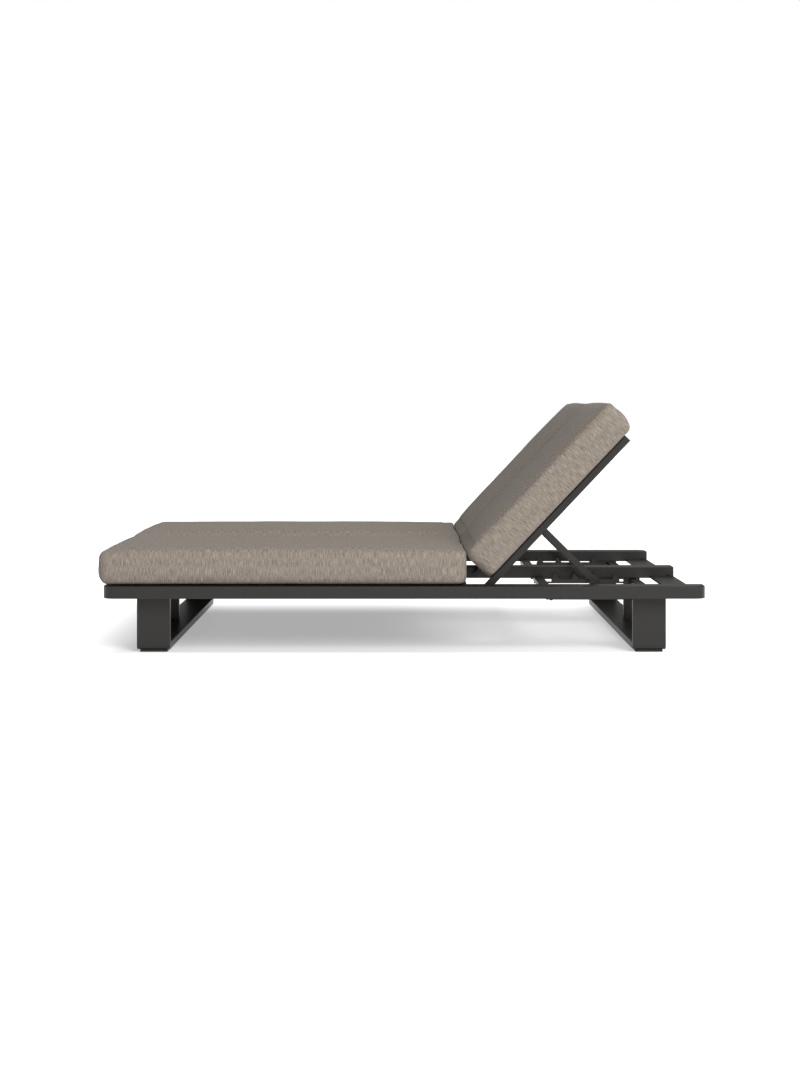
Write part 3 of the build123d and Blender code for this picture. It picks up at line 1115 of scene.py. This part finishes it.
@dataclass(frozen=True)
class CushionPair:
    """Seat and back cushion of one lounger, which press on each other at the fold."""

    bay: Bay
    seat_form: Form
    seat_seed: int
    back_seed: int
    contact_from_pivot: Triple = (-0.0712, 0.0, 0.149)

    def cushions(self, frame: dict) -> tuple[Cushion, Cushion]:
        """Sets out the two cushions.


        Returns:
            The seat cushion and the back cushion.
        """
        bay = self.bay
        hinge = Hinge(frame, bay)
        low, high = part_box(f"seat_cushion_{bay.value}")
        contact = Contact(hinge.pivot + Vector(self.contact_from_pivot), hinge.angle / 2,
                          (low[1] + high[1]) / 2, (high[1] - low[1]) / 2)
        seat = Cushion(name=f"seat_cushion_cover_{bay.value}", node=f"seat_cushion_{bay.value}",
                       body="frame", to_place=Matrix.Identity(4), seed=self.seat_seed,
                       form=self.seat_form, contact=contact, contact_side=-1)
        back = Cushion(name=f"back_cushion_cover_{bay.value}", node=f"back_cushion_{bay.value}",
                       body=f"back_{bay.value}", to_place=hinge.raised(), seed=self.back_seed,
                       form=BACK_FORM, contact=contact, contact_side=1)
        return seat, back

    def build(self, frame: dict, cloth: bpy.types.Material, thread: bpy.types.Material) -> None:
        """Builds both cushions and ties each to its body and its solid.

        Args:
            cloth: Finish of the covers.
            thread: Finish of the seams.
        """
        for cushion in self.cushions(frame):
            piece = cushion.build(cloth, thread)
            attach(piece, cushion.body)
            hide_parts(cushion.node)
            LOG.info("%s has %d faces", piece.name, len(piece.data.polygons))


PAIRS = (CushionPair(Bay.NEAR, SEAT_FORM, seat_seed=1, back_seed=3),
         CushionPair(Bay.FAR, replace(SEAT_FORM, edge_drop=0.0190, crown=0.0180),
                     seat_seed=2, back_seed=4))


@dataclass
class FrameDressing:
    """Puts a finish on every rigid piece by the record's slot."""

    finishes: dict[str, bpy.types.Material]

    def dress(self, frame: dict) -> None:
        """Dresses every node that stays in view.
        """
        for part in frame["record"]["subparts"]:
            finish = self.finishes.get(part["material_slot"])
            if finish is None:
                continue
            piece = bpy.data.objects[part["node"]]
            for slot in piece.material_slots:
                slot.material = finish
            if not piece.material_slots:
                piece.data.materials.append(finish)
            LOG.info("%s is finished in %s", piece.name, finish.name)


@dataclass
class Studio:
    """White floor with a painted shadow below the lounger, one soft lamp, an even sky and the
    photograph's camera.

    Attributes:
        camera_place: Where the camera stands.
        lens_mm: Its focal length.
        sensor_mm: Width of its sensor.
        shift_share: Shift of its lens across and up, in shares of the frame.
        floor_size: Length of the floor's sides.
        floor_colour: Colour of the floor under the lamp.
        sky_strength: Light from all round.
        painted_shadow_levels: Glow of the floor below the lounger, towards its foot and its head,
            lowered as a painted shadow that is lighter towards the head as painted light from the
            lamp's side.
        painted_shadow_span: Where along the lounger the painted shadow's first glow ends and the
            second one starts.
        far_glow: Glow of the floor away from the lounger.
        painted_shadow_left: Where the painted shadow starts to fade towards minus X, and over what
            length.
        painted_shadow_right: The same towards plus X.
        painted_shadow_near: The same towards minus Y.
        painted_shadow_far: The same towards plus Y.
        lamp_place: Where the lamp hangs.
        lamp_aim: Where it points.
        lamp_size: Length of its sides.
        lamp_watts: Its power.
    """

    camera_place: Triple = (-0.0013, -6.99, 0.852)
    lens_mm: float = 60.73
    sensor_mm: float = 36.0
    shift_share: Span = (-0.00066, -0.11851)
    floor_size: float = 60.0
    floor_colour: Colour = (0.82, 0.82, 0.82, 1.0)
    sky_strength: float = 0.345
    # The floor's glow below the lounger is lowered in a fixed patch, a painted shadow.
    painted_shadow_levels: Span = (0.385, 0.5)
    painted_shadow_span: Span = (-0.1, 0.6)
    far_glow: float = 1.0
    painted_shadow_left: Span = (0.88, 0.38)
    painted_shadow_right: Span = (0.80, 0.24)
    painted_shadow_near: Span = (0.70, 0.16)
    painted_shadow_far: Span = (0.42, 0.52)
    lamp_place: Triple = (6.0, -11.5, 7.4)
    lamp_aim: Triple = (0.0, 0.0, 0.3)
    lamp_size: float = 7.0
    lamp_watts: float = 1460.0

    def build(self) -> None:
        """Builds the whole studio."""
        self.add_camera()
        self.add_floor()
        self.add_sky()
        self.add_lamp()
        bpy.context.scene.view_settings.view_transform = "Standard"

    def add_camera(self) -> None:
        """Adds the camera, level and with its lens shifted, as the photograph's upright legs show."""
        data = bpy.data.cameras.new("camera")
        data.lens = self.lens_mm
        data.sensor_width = self.sensor_mm
        data.shift_x, data.shift_y = self.shift_share
        camera = bpy.data.objects.new("camera", data)
        camera.location = self.camera_place
        camera.rotation_euler = (math.radians(90.0), 0.0, 0.0)
        bpy.context.collection.objects.link(camera)
        bpy.context.scene.camera = camera

    def add_floor(self) -> None:
        """Adds the white floor. It takes the object's cast shadow, and its glow is lowered in a fixed
        patch below the lounger as a painted shadow.
        """
        deselect()
        bpy.ops.mesh.primitive_plane_add(size=self.floor_size, location=(0.0, 0.0, 0.0))
        floor = bpy.context.object
        floor.name = "studio_floor"
        finish = Finish("studio_white_painted_shadow")
        places = finish.coordinates()
        across = finish.along(places, "X")
        along = finish.along(places, "Y")
        # A fixed patch of lower glow below the lounger is a painted shadow; these measure how far a
        # place lies past its edges.
        left = (-self.painted_shadow_left[0] - across) / self.painted_shadow_left[1]
        right = (across - self.painted_shadow_right[0]) / self.painted_shadow_right[1]
        near = (-self.painted_shadow_near[0] - along) / self.painted_shadow_near[1]
        far = (along - self.painted_shadow_far[0]) / self.painted_shadow_far[1]
        beyond = left.at_least(right).at_least(near).at_least(far)
        # The painted shadow's glow rises towards plus X, painted light from the lamp's side.
        under = finish.risen(across, self.painted_shadow_span, self.painted_shadow_levels)
        share = finish.risen(beyond, (0.0, 1.0), (0.0, 1.0))
        seen = finish.ray("Is Camera Ray") + finish.ray("Is Glossy Ray")
        glow = seen * (under + share * (self.far_glow - under))
        finish.surface(Base_Color=self.floor_colour, Roughness=1.0, Specular_IOR_Level=0.0,
                       Emission_Color=finish.mixed(glow, BLACK, WHITE), Emission_Strength=1.0)
        floor.data.materials.append(finish.material)

    def add_sky(self) -> None:
        """Lights everything evenly, with a background that the camera sees as white."""
        world = bpy.data.worlds.new("studio")
        sky = Graph(world, "ShaderNodeOutputWorld")
        strength = self.sky_strength + (1.0 - self.sky_strength) * sky.ray("Is Camera Ray")
        sky.end(sky.node("ShaderNodeBackground", {}, {"Color": WHITE, "Strength": strength}))
        bpy.context.scene.world = world

    def add_lamp(self) -> None:
        """Adds the square soft lamp in front, on the head's side."""
        data = bpy.data.lights.new("key", "AREA")
        data.size = self.lamp_size
        data.energy = self.lamp_watts
        lamp = bpy.data.objects.new("key", data)
        lamp.location = self.lamp_place
        aim = Vector(self.lamp_aim) - Vector(self.lamp_place)
        lamp.rotation_euler = aim.to_track_quat("-Z", "Y").to_euler()
        bpy.context.collection.objects.link(lamp)


def main() -> None:
    """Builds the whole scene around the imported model."""
    logging.basicConfig(level=logging.INFO)
    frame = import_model()
    Studio().build()
    plastic = BlackPlastic().make()
    finishes = {"frame_paint": PowderCoat().make(), "hardware_steel": DarkSteel().make(),
                "glide_plastic": plastic, "bush_plastic": plastic}
    FrameDressing(finishes).dress(frame)
    cloth = HeatherCloth().make()
    thread = SeamThread().make()
    for pair in PAIRS:
        pair.build(frame, cloth, thread)


if __name__ == "__main__":
    main()
